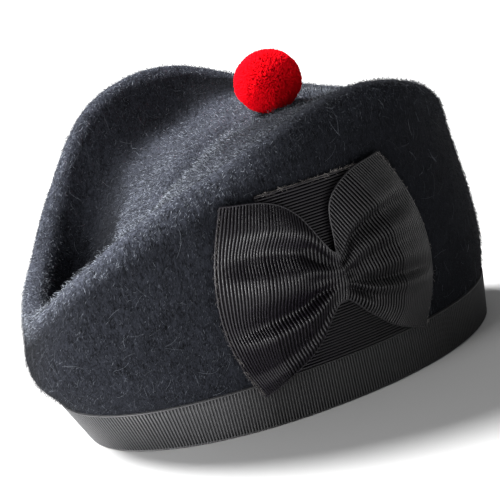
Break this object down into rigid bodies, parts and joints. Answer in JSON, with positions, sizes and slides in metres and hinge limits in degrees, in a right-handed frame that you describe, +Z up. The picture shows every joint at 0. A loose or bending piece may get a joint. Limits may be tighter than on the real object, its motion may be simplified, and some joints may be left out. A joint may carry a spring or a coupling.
{
  "type": "glengarry",
  "caption": "Folded wool-felt cap with a lengthwise valley, a ribbon band round its lower edge, a gathered ribbon cockade on one side and a small yarn pompom in the valley.",
  "frame": {"origin": "middle of the cap's outline, on the surface that its lower edge rests on; the head opening's centre is 9 mm towards +X and 6.8 mm towards -Y from it", "axes": "+Z up, out of the head opening; +X along the cap towards its tall end; the cockade is on the -Y side"},
  "size_m": [0.264, 0.1654, 0.1746],
  "materials": {
    "black_felt": "brushed wool felt",
    "band_ribbon": "ribbed grosgrain",
    "cockade_ribbon": "ribbed grosgrain",
    "red_yarn": "cut wool yarn"
  },
  "bodies": {
    "root": {"crown": "black_felt", "band": "band_ribbon", "cockade_backing": "cockade_ribbon", "cockade_bow": "cockade_ribbon", "toorie": "red_yarn"}
  },
  "joints": []
}
